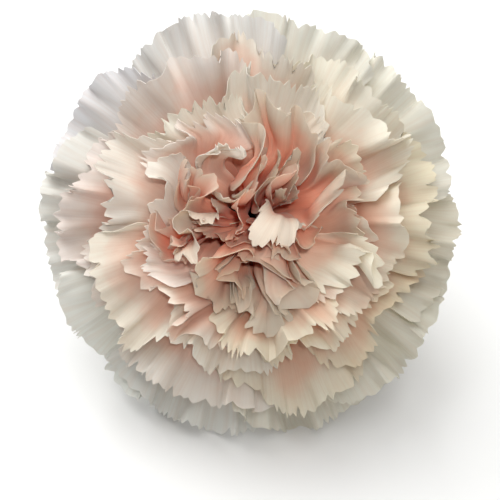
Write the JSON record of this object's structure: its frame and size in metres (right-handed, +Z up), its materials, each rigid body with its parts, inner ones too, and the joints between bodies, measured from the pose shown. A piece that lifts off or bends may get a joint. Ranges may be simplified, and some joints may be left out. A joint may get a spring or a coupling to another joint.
{
  "type": "cut carnation bloom",
  "caption": "Ruffled, full carnation bloom on a short cut stem, lying face up, with toothed petals rising from a calyx tube with bracts.",
  "frame": {"origin": "middle of the bounding box in plan, on the surface that the bloom rests on", "axes": "+X across the bloom; the flower's axis leans from +Z towards -Y; +Z up from the surface"},
  "size_m": [0.0814, 0.064, 0.0624],
  "materials": {
    "collar_petal": "matte, thin, creamy white and slightly translucent, faint veins",
    "petal": "matte, thin, cream margin over a blush middle, faint veins",
    "heart_petal": "matte, thin, cream margin over a salmon blush, darker in the folds",
    "calyx": "waxy satin green with fine lengthwise veins",
    "bract": "waxy satin green with a dry pale edge",
    "stem": "waxy satin green, paler at the cut end",
    "ovary": "smooth satin yellow-green",
    "style": "matte off-white"
  },
  "bodies": {
    "root": {"bract_1": "bract", "bract_2": "bract", "bract_3": "bract", "bract_4": "bract", "calyx": "calyx", "collar_petal_1": "collar_petal", "collar_petal_10": "collar_petal", "collar_petal_2": "collar_petal", "collar_petal_3": "collar_petal", "collar_petal_4": "collar_petal", "collar_petal_5": "collar_petal", "collar_petal_6": "collar_petal", "collar_petal_7": "collar_petal", "collar_petal_8": "collar_petal", "collar_petal_9": "collar_petal", "corner_petal_1": "petal", "corner_petal_2": "petal", "corner_petal_3": "petal", "fourth_petal_1": "petal", "fourth_petal_2": "petal", "fourth_petal_3": "petal", "fourth_petal_4": "petal", "fourth_petal_5": "petal", "fourth_petal_6": "petal", "fourth_petal_7": "petal", "left_heart_petal_1": "heart_petal", "left_heart_petal_2": "heart_petal", "left_heart_petal_3": "heart_petal", "lower_heart_petal_1": "heart_petal", "lower_heart_petal_2": "heart_petal", "lower_heart_petal_3": "heart_petal", "lower_heart_petal_4": "heart_petal", "ovary": "ovary", "second_petal_1": "petal", "second_petal_2": "petal", "second_petal_3": "petal", "second_petal_4": "petal", "second_petal_5": "petal", "second_petal_6": "petal", "second_petal_7": "petal", "second_petal_8": "petal", "second_petal_9": "petal", "stem": "stem", "style_1": "style", "style_2": "style", "third_petal_1": "petal", "third_petal_2": "petal", "third_petal_3": "petal", "third_petal_4": "petal", "third_petal_5": "petal", "third_petal_6": "petal", "third_petal_7": "petal", "third_petal_8": "petal", "upper_heart_petal_1": "heart_petal", "upper_heart_petal_2": "heart_petal", "upper_heart_petal_3": "heart_petal", "upper_heart_petal_4": "heart_petal", "upper_heart_petal_5": "heart_petal", "upper_heart_petal_6": "heart_petal", "upper_heart_petal_7": "heart_petal"}
  },
  "joints": []
}
